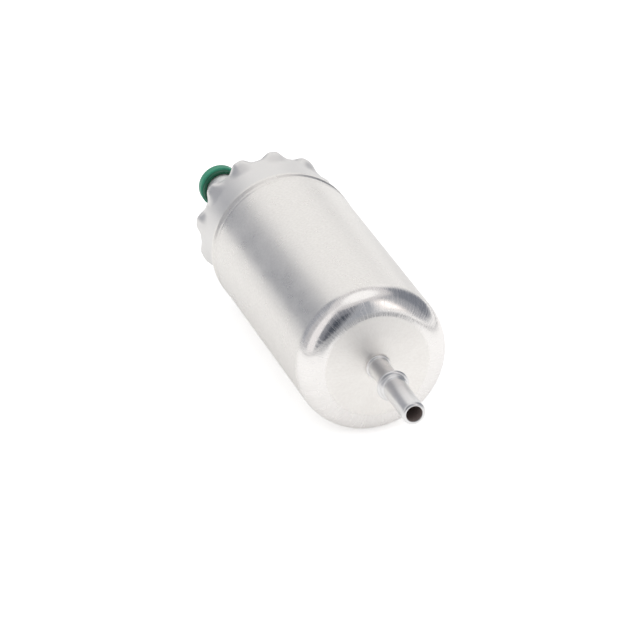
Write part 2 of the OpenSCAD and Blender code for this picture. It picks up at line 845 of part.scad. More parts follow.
module flutes() {
    for (i = [0:lobe_n - 1]) rotate([0, 0, -lobe_turn - (i + 0.5) * 360 / lobe_n])
        translate([cover_r + flute_r, 0, z_lip + flute_start]) rotate([0, -flute_tilt, 0])
            cylinder(r = flute_r, h = 2 * cover_out);
}

module end_cover() {
    color(aluminium) along_axis() difference() {
        union() {
            difference() {
                rotate_extrude() cover_outline();
                flutes();
                disc(recess_r, z_recess, z_rim + past);
            }
            beside(valve_x, valve_up) disc(port_boss_r, z_recess - past, z_port_boss);
        }
        disc(cover_ri, z_cover - past, z_cavity_end);
        ring(cover_r + past, cover_r - oring_depth, z_oring, z_oring + oring_w);
        ring(cover_r + past, can_ri - groove_depth - 2 * fit_gap - lip_rise,
            z_groove - fit_gap, z_lip - cover_groove_in);
        beside(valve_x, valve_up) disc(stub_r + fit_gap / 2, z_cavity_end - past, z_port_boss + past);
        for (x = [-1, 1]) beside(conn_x + x * tab_pitch / 2, conn_up)
            disc(conn_foot_r + fit_gap, z_cavity_end - past, z_recess + past);
    }
}

module cover_oring() {
    color(black) along_axis() translate([0, 0, z_oring + oring_w / 2]) rotate_extrude()
        translate([inside_r - oring_t / 2, 0]) circle(r = oring_t / 2);
}

// straight tube with a flange, wider inside at its front end, where the check valve sits
module pressure_stub() {
    color(aluminium) along_axis() beside(valve_x, valve_up) difference() {
        rotate_extrude() {
            translate([0, z_port_tip]) mirror([0, 1]) tube_outline(stub_r, z_port_tip - z_stub);
            translate([nip_bore_r, z_port_flange]) square([stub_flange_d / 2 - nip_bore_r, nip_flange_t]);
        }
        disc(valve_room_r, z_stub - past, z_valve_room_end);
    }
}

module port_seal() {
    color(black) along_axis() beside(valve_x, valve_up)
        ring(stub_flange_d / 2 - seal_inset, stub_r + fit_gap,
            z_port_boss + seat_gap, z_port_boss + seat_gap + port_seal_t);
}

module valve_seat() {
    color(bronze) along_axis() beside(valve_x, valve_up)
        ring(valve_room_r - fit_gap / 2, valve_seat_r, z_stub, z_stub + valve_seat_t);
}

module valve_ball() {
    color(steel) along_axis() beside(valve_x, valve_up)
        translate([0, 0, z_valve_ball]) sphere(r = valve_ball_r);
}

module valve_spring() {
    color(steel) along_axis() beside(valve_x, valve_up)
        coil_spring(valve_coil_r, valve_wire, valve_turns,
            z_valve_ball + ball_reach(valve_ball_r, valve_coil_r, valve_wire), z_valve_room_end - spring_gap);
}

// cup with a rounded closed end and a low brim round its mouth
module port_cap() {
    out_r = cap_ri + cap_wall;
    z_round = z_cap_end - cap_round;
    color(cap_green) along_axis() beside(valve_x, valve_up) difference() {
        union() {
            disc(out_r, z_cap, z_round);
            disc(out_r + cap_brim, z_cap, z_cap + cap_brim_w);
            disc(out_r - cap_round, z_round - lap, z_cap_end);
            translate([0, 0, z_round]) rotate_extrude() translate([out_r - cap_round, 0])
                circle(r = cap_round);
        }
        disc(cap_ri, z_cap - past, z_cap_end - cap_end);
    }
}

// block with rounded edges, as large as the connector less the inset
module conn_block(inset, z0, z1) {
    w = conn_w - 2 * inset;
    h = conn_h - 2 * inset;
    r = conn_corner_r - inset / 2;
    translate([-w / 2 + r, -h / 2, z0]) cube([w - 2 * r, h, z1 - z0]);
    translate([-w / 2, -h / 2 + r, z0]) cube([w, h - 2 * r, z1 - z0]);
    for (x = [-1, 1], y = [-1, 1]) translate([x * (w / 2 - r), y * (h / 2 - r), z0])
        cylinder(r = r, h = z1 - z0, $fn = 48);
}

module connector_shroud() {
    color(black) along_axis() beside(conn_x, conn_up) difference() {
        union() {
            conn_block(0, z_recess + seat_gap, z_conn_end);
            for (x = [-1, 1]) translate([x * tab_pitch / 2, 0, 0])
                disc(conn_foot_r, z_cavity_end + conn_foot_play, z_recess + past);
            translate([-latch_w / 2, -conn_h / 2 - latch_rise, z_conn_end - latch_off])
                cube([latch_w, latch_rise + lap, latch_len]);
        }
        conn_block(conn_wall, z_conn_floor, z_conn_end + past);
        for (x = [-1, 1]) translate([x * tab_pitch / 2, 0, 0])
            tab_blank(fit_gap, z_cavity_end - past, z_conn_floor + past);
    }
}

module tab_blank(gap, z0, z1) {
    translate([-tab_t / 2 - gap, -tab_w / 2 - gap, z0]) cube([tab_t + 2 * gap, tab_w + 2 * gap, z1 - z0]);
}

module terminal_tabs() {
    color(bronze) along_axis() beside(conn_x, conn_up) for (x = [-1, 1])
        translate([x * tab_pitch / 2, 0, 0]) tab_blank(0, z_tab_start, z_tab_end);
}

can();
suction_nipple();
nipple_seal();
inlet_strainer();
inlet_plate();
stage_ring();
inner_gear();
outer_gear();
base_plate();
stage_screws();
front_bush();
relief_ball();
relief_spring();
relief_plug();
shaft();
drive_key();
armature_core();
windings();
commutator_hub();
commutator_bars();
thrust_washers();
flux_ring();
magnets();
magnet_clips();
brush_holder();
rear_bush();
brush_left();
brush_right();
brush_spring_left();
brush_spring_right();
choke_cores();
choke_coils();
end_cover();
cover_oring();
pressure_stub();
port_seal();
valve_seat();
valve_ball();
valve_spring();
port_cap();
connector_shroud();
terminal_tabs();
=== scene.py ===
# %% [markdown]
# # In-line electric fuel pump
# The pump lies on its side. Its axis is the Y axis and the suction pipe points to -Y, as in the
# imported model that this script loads. Most of what shows is turned or drawn metal, so most pieces
# here are half sections that are spun round the axis. The inner works stay as they come from the
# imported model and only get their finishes, apart from four springs that are wound as real coils.

# %% Load the frame
import bpy
import bmesh
from math import atan2, cos, hypot, pi, radians, sin, tan
from mathutils import Matrix, Vector


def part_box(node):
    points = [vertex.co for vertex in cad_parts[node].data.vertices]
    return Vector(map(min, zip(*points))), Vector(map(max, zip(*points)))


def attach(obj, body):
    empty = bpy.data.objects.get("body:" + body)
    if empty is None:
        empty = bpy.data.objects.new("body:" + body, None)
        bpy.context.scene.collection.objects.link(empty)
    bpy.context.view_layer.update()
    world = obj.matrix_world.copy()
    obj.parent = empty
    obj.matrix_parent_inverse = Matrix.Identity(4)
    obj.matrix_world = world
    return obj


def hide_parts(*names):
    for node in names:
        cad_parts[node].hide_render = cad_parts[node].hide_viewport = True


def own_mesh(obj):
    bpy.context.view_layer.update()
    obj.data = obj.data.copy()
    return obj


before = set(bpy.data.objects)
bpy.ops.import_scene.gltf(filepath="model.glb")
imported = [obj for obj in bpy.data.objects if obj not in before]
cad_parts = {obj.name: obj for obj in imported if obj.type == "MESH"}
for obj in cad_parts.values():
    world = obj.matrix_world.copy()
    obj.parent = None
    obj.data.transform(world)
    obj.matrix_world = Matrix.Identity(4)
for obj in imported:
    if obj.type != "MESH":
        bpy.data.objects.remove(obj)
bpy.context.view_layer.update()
MM = 0.001
MERGE = 1e-6

# %% [markdown]
# ## A pen for half sections
# A turned piece is one half section, swept round the axis. The section could be a list of points,
# but round edges then need many of them by hand. A small pen is easier to read: each straight step
# extrudes a vertex, and each round step spins it about the centre of the arc, so an arc is one line.

# %% The pen
def pen(bm, r, y):
    return bm.verts.new((r * MM, y * MM, 0))


def line(bm, v, *steps):
    for r, y in steps:
        v = bmesh.ops.extrude_vert_indiv(bm, verts=[v])["verts"][0]
        v.co = (r * MM, y * MM, 0)
    return v


def arc(bm, v, r, y, degrees, steps):
    swept = bmesh.ops.spin(bm, geom=[v], cent=(r * MM, y * MM, 0), axis=(0, 0, 1), dvec=(0, 0, 0),
                           angle=radians(degrees), steps=steps, use_duplicate=False)
    return next(g for g in swept["geom_last"] if isinstance(g, bmesh.types.BMVert))


# %% Sweep a section and make it a piece
def object_of(bm, name):
    mesh = bpy.data.meshes.new(name)
    bm.to_mesh(mesh)
    bm.free()
    obj = bpy.data.objects.new(name, mesh)
    bpy.context.collection.objects.link(obj)
    return obj


def finish_piece(bm, name, body, nodes, edge=0.0, segments=3, limit=32):
    bmesh.ops.remove_doubles(bm, verts=bm.verts[:], dist=MERGE)
    bmesh.ops.recalc_face_normals(bm, faces=bm.faces[:])
    obj = object_of(bm, name)
    for face in obj.data.polygons:
        face.use_smooth = True
    if edge:
        round_off = obj.modifiers.new("rounded edges", 'BEVEL')
        round_off.width = edge * MM
        round_off.segments = segments
        round_off.limit_method = 'ANGLE'
        round_off.angle_limit = radians(limit)
        even = obj.modifiers.new("even shading", 'WEIGHTED_NORMAL')
        even.keep_sharp = True
    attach(obj, body)
    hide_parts(*nodes)
    print(name, "faces:", len(obj.data.polygons))
    return obj


def sweep(bm, steps):
    bmesh.ops.spin(bm, geom=bm.verts[:] + bm.edges[:], cent=(0, 0, 0), axis=(0, 1, 0), dvec=(0, 0, 0),
                   angle=2 * pi, steps=steps, use_merge=True, use_duplicate=False)
    bmesh.ops.remove_doubles(bm, verts=bm.verts[:], dist=MERGE)


# %% [markdown]
# ## The can
# The real can is deep-drawn from one aluminium blank: a straight tube, a tight polished shoulder, a
# front face that rises slowly to a flat middle, and a groove rolled in at the back, which holds the
# end cover. Spinning its wall's half section gives both the outside and the inside in one go. The
# faint steps of the face are real steps of a few hundredths of a millimetre in the section.

# %% Can shell
CAN_R, CAN_RI, WALL = 26.0, 24.4, 1.6
SHOULDER_R, SHOULDER_Y, SHOULDER_ARC = 8.5, -44.5, 80
RIDGE_R, GROOVE_R, LIP_R, LIP_Y = 26.14, 25.72, 26.18, 48.5
HOLE_R, FLAT_R, FACE_STEP, FACE_TILT = 4.1, 11, 0.03, radians(5)
CREASE = radians(90 - SHOULDER_ARC)
axis_r = CAN_R - SHOULDER_R
crease_r = axis_r + SHOULDER_R * sin(CREASE)
crease_y = SHOULDER_Y - SHOULDER_R * cos(CREASE)
face_y = crease_y - (crease_r - FLAT_R) * tan(FACE_TILT)
inner_r = SHOULDER_R - WALL
crease_ri = axis_r + inner_r * sin(CREASE)
crease_yi = SHOULDER_Y - inner_r * cos(CREASE)
face_yi = crease_yi - (crease_ri - FLAT_R) * tan(FACE_TILT)

bm = bmesh.new()
v = line(bm, pen(bm, HOLE_R, face_yi), (HOLE_R, face_y), (6.1, face_y), (6.5, face_y + FACE_STEP),
         (10.2, face_y + FACE_STEP), (11.2, face_y + 2 * FACE_STEP), (crease_r - 1.3, crease_y - 0.17),
         (crease_r - 0.9, crease_y - 0.15), (crease_r, crease_y))
v = arc(bm, v, axis_r, SHOULDER_Y, SHOULDER_ARC, 28)
v = line(bm, v, (CAN_R, -30), (CAN_R, 0), (CAN_R, 30), (CAN_R, 43.2), (RIDGE_R, 43.7), (RIDGE_R, 44.3),
         (GROOVE_R, 45.1), (GROOVE_R, 46.1), (LIP_R, 47.2), (LIP_R, LIP_Y))
v = line(bm, v, (CAN_RI, LIP_Y), (CAN_RI, 47.5), (23.3, 46.5), (23.3, 45.5), (24.2, 44.5),
         (CAN_RI, 43.5), (CAN_RI, SHOULDER_Y))
v = arc(bm, v, axis_r, SHOULDER_Y, -SHOULDER_ARC, 14)
v = line(bm, v, (FLAT_R, face_yi), (HOLE_R, face_yi))
sweep(bm, 256)
can = finish_piece(bm, "can_shell", "housing", ["can"], edge=0.15, limit=22)

# %% [markdown]
# ## The suction pipe
# The pipe is turned from steel bar: a long plain end for the hose, a small step and a round flange
# that stop it, a slimmer neck, and a small bead where it meets the can. Inside the can a second
# flange holds it. The camera looks closely into the round lip at the tip, so it gets a true arc.

# %% Suction pipe
PIPE_R, NECK_R, BORE_R, MOUTH_R = 4.0, 3.55, 3.0, 2.78
TIP_Y, TIP_ROUND = -89.97, 1.0
HELD_R, HELD_BACK, HELD_FRONT = 8, -49.37, -50.97
BEAD_R, BEAD_Y, BEAD_ROUND = 3.8, -53.95, 0.55
FLANGE_R, FLANGE_Y, FLANGE_ROUND = 4.75, -68.42, 0.75
bm = bmesh.new()
v = line(bm, pen(bm, BORE_R, HELD_BACK), (HELD_R, HELD_BACK), (HELD_R, HELD_FRONT), (PIPE_R, HELD_FRONT),
         (PIPE_R, BEAD_Y + BEAD_ROUND), (BEAD_R, BEAD_Y + BEAD_ROUND))
v = arc(bm, v, BEAD_R, BEAD_Y, -180, 12)
v = line(bm, v, (NECK_R + 0.05, -55.0), (NECK_R, -60), (NECK_R + 0.05, -66.2), (3.9, -67.2),
         (4.6, FLANGE_Y + FLANGE_ROUND), (FLANGE_R, FLANGE_Y + FLANGE_ROUND))
v = arc(bm, v, FLANGE_R, FLANGE_Y, -180, 14)
v = line(bm, v, (4.6, -69.25), (4.55, -70.4), (4.35, -70.77), (PIPE_R, -71.0), (PIPE_R, -76),
         (PIPE_R, -82), (PIPE_R, TIP_Y + TIP_ROUND))
v = arc(bm, v, PIPE_R - TIP_ROUND, TIP_Y + TIP_ROUND, -90, 8)
v = line(bm, v, (2.9, TIP_Y), (MOUTH_R, TIP_Y + 0.12), (MOUTH_R, TIP_Y + 3), (BORE_R, TIP_Y + 3.4),
         (BORE_R, -60), (BORE_R, HELD_BACK))
print("section points:", len(bm.verts))
sweep(bm, 96)
pipe = finish_piece(bm, "suction_pipe", "housing", ["suction_nipple"], edge=0.12)

# %% [markdown]
# ## The end cover
# The cover is a casting. Twelve short soft lobes stand round its rear rim, and a deep recess at the
# back holds the outlet and the plug. Cutting the gaps between the lobes with a boolean leaves knife
# edges, which a casting never has. So the plain blank is spun with many steps, with the lobes' full
# radius all round, and its vertices between the lobes are then drawn in along a smooth curve. The
# gaps are deepest on two opposite sides, as the outline in the photograph has them.

# %% End cover blank
COVER_R, RIM_R, RIM_Y, RIM_ROUND = 24.3, 25.6, 69.3, 1.2
RECESS_R, RECESS_Y, RECESS_ROUND, RECESS_EDGE = 19.5, 65.5, 0.9, 0.5
CAVITY_R, CAVITY_Y, CAVITY_ROUND, FRONT_Y = 20.5, 60, 0.8, 38.5
CRIMP_R, SEAL_R = 23.1, 22.3
LOBES, LOBE_TURN = 12, 24
SKIRT_Y, SKIRT_ROWS = 50.5, 34


def smooth(start, end, value):
    t = min(1, max(0, (value - start) / (end - start)))
    return t * t * (3 - 2 * t)


def blank_radius(y):
    return COVER_R + (RIM_R - COVER_R) * smooth(60.5, 67.3, y)


bm = bmesh.new()
v = line(bm, pen(bm, 0, RECESS_Y), (10, RECESS_Y), (RECESS_R - RECESS_ROUND, RECESS_Y))
v = arc(bm, v, RECESS_R - RECESS_ROUND, RECESS_Y + RECESS_ROUND, 90, 5)
v = line(bm, v, (RECESS_R, RIM_Y - RECESS_EDGE))
v = arc(bm, v, RECESS_R + RECESS_EDGE, RIM_Y - RECESS_EDGE, -90, 5)
v = line(bm, v, (21, RIM_Y), (22, RIM_Y), (23, RIM_Y), (RIM_R - RIM_ROUND, RIM_Y))
v = arc(bm, v, RIM_R - RIM_ROUND, RIM_Y - RIM_ROUND, -90, 8)
for row in range(1, SKIRT_ROWS + 1):
    y = RIM_Y - RIM_ROUND - row * (RIM_Y - RIM_ROUND - SKIRT_Y) / SKIRT_ROWS
    v = line(bm, v, (blank_radius(y), y))
v = line(bm, v, (COVER_R, 47.9), (CRIMP_R, 47.9), (CRIMP_R, 44.4), (COVER_R, 44.4))
v = line(bm, v, (COVER_R, 42.35), (SEAL_R, 42.35), (SEAL_R, 39.85), (COVER_R, 39.85), (COVER_R, FRONT_Y),
         (CAVITY_R, FRONT_Y), (CAVITY_R, CAVITY_Y - CAVITY_ROUND))
v = arc(bm, v, CAVITY_R - CAVITY_ROUND, CAVITY_Y - CAVITY_ROUND, 90, 4)
v = line(bm, v, (10, CAVITY_Y), (0, CAVITY_Y))
sweep(bm, 36 * LOBES)
print("blank faces:", len(bm.faces))

# %% Draw in the gaps between the lobes
FIXED_R, DEEPEST_R, DEEPEST_TURN, SHALLOWER = 20.2, 22.95, 115, 1.3
FLARE_Y, GAPS_Y = 60, 65.2
pitch = 360 / LOBES
for vert in bm.verts:
    r, y = hypot(vert.co.x, vert.co.z) / MM, vert.co.y / MM
    if r <= FIXED_R or y < FLARE_Y:
        continue
    turn = atan2(vert.co.z, vert.co.x) * 180 / pi
    from_lobe = abs((turn - LOBE_TURN + pitch / 2) % pitch - pitch / 2)
    from_deepest = abs((turn - DEEPEST_TURN + 90) % 180 - 90)
    gap_r = DEEPEST_R + SHALLOWER * smooth(25, 80, from_deepest)
    gap = COVER_R + (gap_r - COVER_R) * smooth(GAPS_Y, RIM_Y, y)
    drawn = gap + (blank_radius(y) - gap) * smooth(12.5, 2.0, from_lobe)
    share = (drawn - FIXED_R) / (blank_radius(y) - FIXED_R)
    scale = (FIXED_R + (r - FIXED_R) * share) / r
    vert.co.x *= scale
    vert.co.z *= scale
rim = [hypot(v.co.x, v.co.z) / MM for v in bm.verts if v.co.y > (RIM_Y - 1.3) * MM]
print("smallest rim radius:", round(min(r for r in rim if r > 21), 2))

# %% [markdown]
# ## Holes and the port's boss
# The outlet stub goes through the back wall. Its hole is off the axis, so it can't be part of the
# spun section. A boolean with a plain cylinder makes it, and is applied at once. The boss round the
# hole is a short turned ring of its own that sinks into the casting.

# %% Cut a round hole and add a boss
PORT_OFF, PORT_TURN, PORT_HOLE_R = 14.3, radians(147), 5.76
PORT_X, PORT_Z = PORT_OFF * cos(PORT_TURN), PORT_OFF * sin(PORT_TURN)
TAB_XS, TAB_Z = (-1.5, 7.5), -9.0


def moved(bm, x, z):
    bmesh.ops.translate(bm, verts=bm.verts[:], vec=(x * MM, 0, z * MM))


def rod(bm, x, z, r, y0, y1, segments):
    made = bmesh.ops.create_cone(bm, cap_ends=True, segments=segments, radius1=r * MM, radius2=r * MM,
                                 depth=(y1 - y0) * MM)["verts"]
    bmesh.ops.rotate(bm, verts=made, cent=(0, 0, 0), matrix=Matrix.Rotation(pi / 2, 3, 'X'))
    bmesh.ops.translate(bm, verts=made, vec=(x * MM, (y0 + y1) / 2 * MM, z * MM))


def cut_hole(obj, x, z, r, y0, y1):
    drill = bmesh.new()
    rod(drill, x, z, r, y0, y1, 72)
    tool = object_of(drill, "drill")
    cut = obj.modifiers.new("hole", 'BOOLEAN')
    cut.operation = 'DIFFERENCE'
    cut.solver = 'EXACT'
    cut.object = tool
    drilled = bpy.data.meshes.new_from_object(obj.evaluated_get(bpy.context.evaluated_depsgraph_get()))
    obj.modifiers.remove(cut)
    bpy.data.objects.remove(tool)
    obj.data = drilled
    drilled.name = obj.name


def add_boss(obj):
    grown = bmesh.new()
    grown.from_mesh(obj.data)
    boss = bmesh.new()
    foot_y, head_y = RECESS_Y - 1, RECESS_Y + 4
    v = line(boss, pen(boss, PORT_HOLE_R, foot_y), (PORT_HOLE_R, head_y - 0.1),
             (PORT_HOLE_R + 0.1, head_y), (7.2, head_y))
    v = arc(boss, v, 7.2, head_y - 0.4, -90, 4)
    v = line(boss, v, (7.6, RECESS_Y + 0.6))
    v = arc(boss, v, 8.2, RECESS_Y + 0.6, 90, 5)
    line(boss, v, (8.2, foot_y), (PORT_HOLE_R, foot_y))
    sweep(boss, 96)
    bmesh.ops.recalc_face_normals(boss, faces=boss.faces[:])
    moved(boss, PORT_X, PORT_Z)
    part = bpy.data.meshes.new("boss")
    boss.to_mesh(part)
    boss.free()
    grown.from_mesh(part)
    bpy.data.meshes.remove(part)
    grown.to_mesh(obj.data)
    grown.free()
    for face in obj.data.polygons:
        face.use_smooth = True


cover = finish_piece(bm, "end_cover_casting", "housing", ["end_cover"])
cut_hole(cover, PORT_X, PORT_Z, PORT_HOLE_R, 58, 72)
for tab_x in TAB_XS:
    cut_hole(cover, tab_x, TAB_Z, 2.4, 58, 67)
add_boss(cover)
print("cover faces:", len(cover.data.polygons))

# %% [markdown]
# ## The outlet stub and its cap
# Only the stub's first millimetres show in front of the green transport cap. The cap is soft
# moulded plastic: a cup with a rounded end, a slim ring at its mouth and a wider body behind that,
# where fingers pull.

# %% Outlet stub
STUB_R, STUB_FOOT, STUB_TIP, STUB_ROUND = 5.7, 55, 85.1, 0.8
VALVE_R, VALVE_END, STUB_BORE_R = 4.3, 68, 3
COLLAR_R, COLLAR_Y0, COLLAR_Y1 = 7.2, 70.7, 72.3
bm = bmesh.new()
v = line(bm, pen(bm, VALVE_R, STUB_FOOT), (STUB_R, STUB_FOOT), (STUB_R, 62), (STUB_R, COLLAR_Y0),
         (COLLAR_R - 0.2, COLLAR_Y0), (COLLAR_R, COLLAR_Y0 + 0.2), (COLLAR_R, COLLAR_Y1 - 0.2),
         (COLLAR_R - 0.2, COLLAR_Y1), (STUB_R + 0.3, COLLAR_Y1))
v = arc(bm, v, STUB_R + 0.3, COLLAR_Y1 + 0.3, -90, 4)
v = line(bm, v, (STUB_R, 78), (STUB_R, STUB_TIP - STUB_ROUND))
v = arc(bm, v, STUB_R - STUB_ROUND, STUB_TIP - STUB_ROUND, 90, 8)
v = line(bm, v, (STUB_BORE_R + 0.2, STUB_TIP), (STUB_BORE_R, STUB_TIP - 0.2), (STUB_BORE_R, 76),
         (STUB_BORE_R, VALVE_END), (VALVE_R, VALVE_END), (VALVE_R, STUB_FOOT))
sweep(bm, 128)
moved(bm, PORT_X, PORT_Z)
stub = finish_piece(bm, "outlet_stub", "housing", ["pressure_stub"], edge=0.1)

# %% Green cap
CAP_END, CAP_MOUTH, CAP_RI, CAP_FLOOR = 86.3, 80.8, 5.75, 85.2
RING_R, RING_ROUND, CAP_R, CAP_ROUND = 6.8, 0.4, 7.45, 0.5
DIMPLE_R, DIMPLE = 0.9, 0.15
bm = bmesh.new()
v = line(bm, pen(bm, CAP_RI, CAP_FLOOR), (CAP_RI, CAP_MOUTH + 0.3), (6.0, CAP_MOUTH),
         (RING_R - RING_ROUND, CAP_MOUTH))
v = arc(bm, v, RING_R - RING_ROUND, CAP_MOUTH + RING_ROUND, 90, 6)
v = line(bm, v, (RING_R, CAP_MOUTH + 1.3), (7.0, CAP_MOUTH + 1.6))
v = arc(bm, v, CAP_R - CAP_ROUND, CAP_MOUTH + 1.6 + CAP_ROUND, 90, 6)
v = line(bm, v, (CAP_R, CAP_MOUTH + 3.2), (7.4, CAP_END - 1.2))
v = arc(bm, v, 6.4, CAP_END - 1.1, 70, 8)
v = line(bm, v, (5.8, CAP_END), (4, CAP_END), (DIMPLE_R + 0.3, CAP_END), (DIMPLE_R, CAP_END - DIMPLE),
         (0, CAP_END - DIMPLE))
line(bm, pen(bm, CAP_RI, CAP_FLOOR), (0, CAP_FLOOR))
sweep(bm, 128)
moved(bm, PORT_X, PORT_Z)
cap = finish_piece(bm, "green_cap", "cap", ["port_cap"], edge=0.08)

# %% [markdown]
# ## The plug socket
# Two flat terminals stand in a moulded black shroud, and a latch on its upper side holds the plug.
# A cube with its four long edges bevelled is the block. The socket is its end face, inset and then
# pushed in, so the wall is even all round. Two round feet carry the terminals through the cover.

# %% Plug shroud
SOCKET_X, SOCKET_Z, SOCKET_W, SOCKET_H = 3.0, TAB_Z, 18.0, 11.5
SOCKET_Y0, SOCKET_Y1, SOCKET_FLOOR, SOCKET_WALL = 65.6, 82.3, 70.1, 1.3
CORNER_R, LATCH_HALF, LATCH_RISE, RIB_HALF, RIB_WIDE = 2.5, 2.5, 1.4, 2.6, 1.1


def block(bm, x0, x1, y0, y1, z0, z1):
    made = bmesh.ops.create_cube(bm, size=1)["verts"]
    bmesh.ops.scale(bm, verts=made, vec=((x1 - x0) * MM, (y1 - y0) * MM, (z1 - z0) * MM))
    bmesh.ops.translate(bm, verts=made, vec=((x0 + x1) / 2 * MM, (y0 + y1) / 2 * MM, (z0 + z1) / 2 * MM))
    return made


def along_y(edge):
    a, b = edge.verts
    return abs(a.co.y - b.co.y) > 0.9 * (a.co - b.co).length and edge.calc_length() > MERGE


bm = bmesh.new()
block(bm, SOCKET_X - SOCKET_W / 2, SOCKET_X + SOCKET_W / 2, SOCKET_Y0, SOCKET_Y1,
      SOCKET_Z - SOCKET_H / 2, SOCKET_Z + SOCKET_H / 2)
bmesh.ops.bevel(bm, geom=[e for e in bm.edges if along_y(e)], offset=CORNER_R * MM, segments=6,
                profile=0.5, affect='EDGES', material=-1)
bm.faces.ensure_lookup_table()
mouth = max(bm.faces, key=lambda f: f.calc_center_median().y)
bmesh.ops.inset_region(bm, faces=[mouth], thickness=SOCKET_WALL * MM, depth=0)
floor_face = bmesh.ops.extrude_discrete_faces(bm, faces=[mouth])["faces"][0]
bmesh.ops.translate(bm, verts=floor_face.verts[:], vec=(0, (SOCKET_FLOOR - SOCKET_Y1) * MM, 0))
top_z = SOCKET_Z + SOCKET_H / 2
latch = block(bm, SOCKET_X - LATCH_HALF, SOCKET_X + LATCH_HALF, SOCKET_Y1 - 6, SOCKET_Y1 - 3,
              top_z - 0.3, top_z + LATCH_RISE)
for vert in latch:
    if vert.co.y > (SOCKET_Y1 - 4) * MM and vert.co.z > top_z * MM:
        vert.co.z = (top_z + 0.5) * MM
for side in (-1, 1):
    for rib_y in (71.5, 74.0, 76.5):
        x = SOCKET_X + side * SOCKET_W / 2
        block(bm, x - 0.3, x + 0.3, rib_y, rib_y + RIB_WIDE, SOCKET_Z - RIB_HALF, SOCKET_Z + RIB_HALF)
for tab_x in TAB_XS:
    rod(bm, tab_x, TAB_Z, 2.3, 60.2, 66.5, 48)
shroud = finish_piece(bm, "plug_shroud", "housing", ["connector_shroud"], edge=0.25)

# %% Terminals
TAB_FOOT, TAB_TIP = 55, 78.3
bm = bmesh.new()
for tab_x in TAB_XS:
    tab = block(bm, tab_x - 0.4, tab_x + 0.4, TAB_FOOT, TAB_TIP, TAB_Z - 1.4, TAB_Z + 1.4)
    tip = [v for v in tab if v.co.y > (TAB_TIP - 1) * MM]
    tip_edges = {e for v in tip for e in v.link_edges if all(w in tip for w in e.verts)}
    bmesh.ops.bevel(bm, geom=list(tip_edges), offset=0.3 * MM, segments=1, profile=0.5,
                    affect='EDGES', material=-1)
tabs = finish_piece(bm, "plug_terminals", "housing", ["terminal_tabs"], edge=0.05,
                    segments=2)

# %% [markdown]
# ## Coil springs
# Both valve balls and both brushes press on a coil of thin steel wire. A coil of the imported model
# keeps its length, so a lifting ball would run into it. A round wire section, spun round the coil's axis
# and moved on a little at each step, gives the same coil as a mesh of its own.

# %% Coil springs
def coil(node_name, along, fixed_end, wire, turns):
    """along is the coil's axis, 0 for X and 1 for Y; fixed_end is 0 for its low end and 1 for its high
    end; wire is in millimetres"""
    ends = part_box(node_name)
    middle, length = (ends[0] + ends[1]) / 2, ends[1][along] - ends[0][along]
    axis, side = Vector((0, 0, 0)), Vector((0, 0, 1))
    axis[along] = 1
    start = middle + side * ((ends[1].z - ends[0].z - wire * MM) / 2)
    start[along] = ends[0][along] + wire / 2 * MM
    bm = bmesh.new()
    bmesh.ops.create_circle(bm, cap_ends=True, segments=8, radius=wire / 2 * MM)
    lean = Vector((0, 0, 1)).rotation_difference(axis.cross(side)).to_matrix()
    bmesh.ops.rotate(bm, verts=bm.verts[:], cent=(0, 0, 0), matrix=lean)
    bmesh.ops.translate(bm, verts=bm.verts[:], vec=start)
    steps = 24 * turns
    bmesh.ops.spin(bm, geom=bm.verts[:] + bm.edges[:] + bm.faces[:], cent=middle, axis=axis,
                   dvec=axis * ((length - wire * MM) / steps), angle=2 * pi * turns, steps=steps,
                   use_duplicate=False)
    bmesh.ops.holes_fill(bm, edges=bm.edges[:])
    piece = finish_piece(bm, node_name + "_coil", "housing", [node_name])
    anchor = middle.copy()
    anchor[along] = ends[fixed_end][along]
    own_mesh(piece)
    return piece


coils = [coil("valve_spring", 1, 1, 0.5, 4),
         coil("relief_spring", 1, 0, 0.5, 7),
         coil("brush_spring_left", 0, 0, 0.45, 4),
         coil("brush_spring_right", 0, 1, 0.45, 4)]

# %% [markdown]
# ## Finishes
# Bare metal gets its look from its roughness and its fine relief more than from its colour. A
# pattern can come from an image or from noise nodes. Noise needs no files and follows the piece at
# any size, so each finish here is a small network of noise on Object coordinates. Turned and drawn
# pieces need a pattern that runs round the axis, so one helper turns x and z into a turn and a radius.

# %% Node helpers
def new_finish(name, colour, metallic, rough):
    material = bpy.data.materials.new(name)
    material.use_nodes = True
    nodes = material.node_tree.nodes
    shader = nodes["Principled BSDF"]
    shader.inputs["Base Color"].default_value = (*colour, 1)
    shader.inputs["Metallic"].default_value = metallic
    shader.inputs["Roughness"].default_value = rough
    return material, shader


def node(material, kind, inputs=(), **settings):
    made = material.node_tree.nodes.new(kind)
    for key, value in settings.items():
        setattr(made, key, value)
    for key, value in dict(inputs).items():
        if isinstance(value, bpy.types.NodeSocket):
            material.node_tree.links.new(value, made.inputs[key])
        else:
            made.inputs[key].default_value = value
    return made


def maths(material, operation, a, b=0.0, c=0.0):
    return node(material, "ShaderNodeMath", {0: a, 1: b, 2: c}, operation=operation).outputs[0]


def times(material, a, b):
    return maths(material, 'MULTIPLY', a, b)


def object_spot(material):
    return node(material, "ShaderNodeTexCoord").outputs["Object"]


def object_place(material):
    return node(material, "ShaderNodeSeparateXYZ", {0: object_spot(material)}).outputs


def round_axis(material, x_off=0.0, z_off=0.0):
    """(turn about the axis in radians, radius, place along the axis), lengths in millimetres"""
    x, y, z = object_place(material)
    x = maths(material, 'MULTIPLY_ADD', x, 1000, -x_off)
    z = maths(material, 'MULTIPLY_ADD', z, 1000, -z_off)
    turn = maths(material, 'ARCTAN2', x, z)
    squared = maths(material, 'ADD', times(material, x, x), times(material, z, z))
    return turn, maths(material, 'SQRT', squared), times(material, y, 1000)


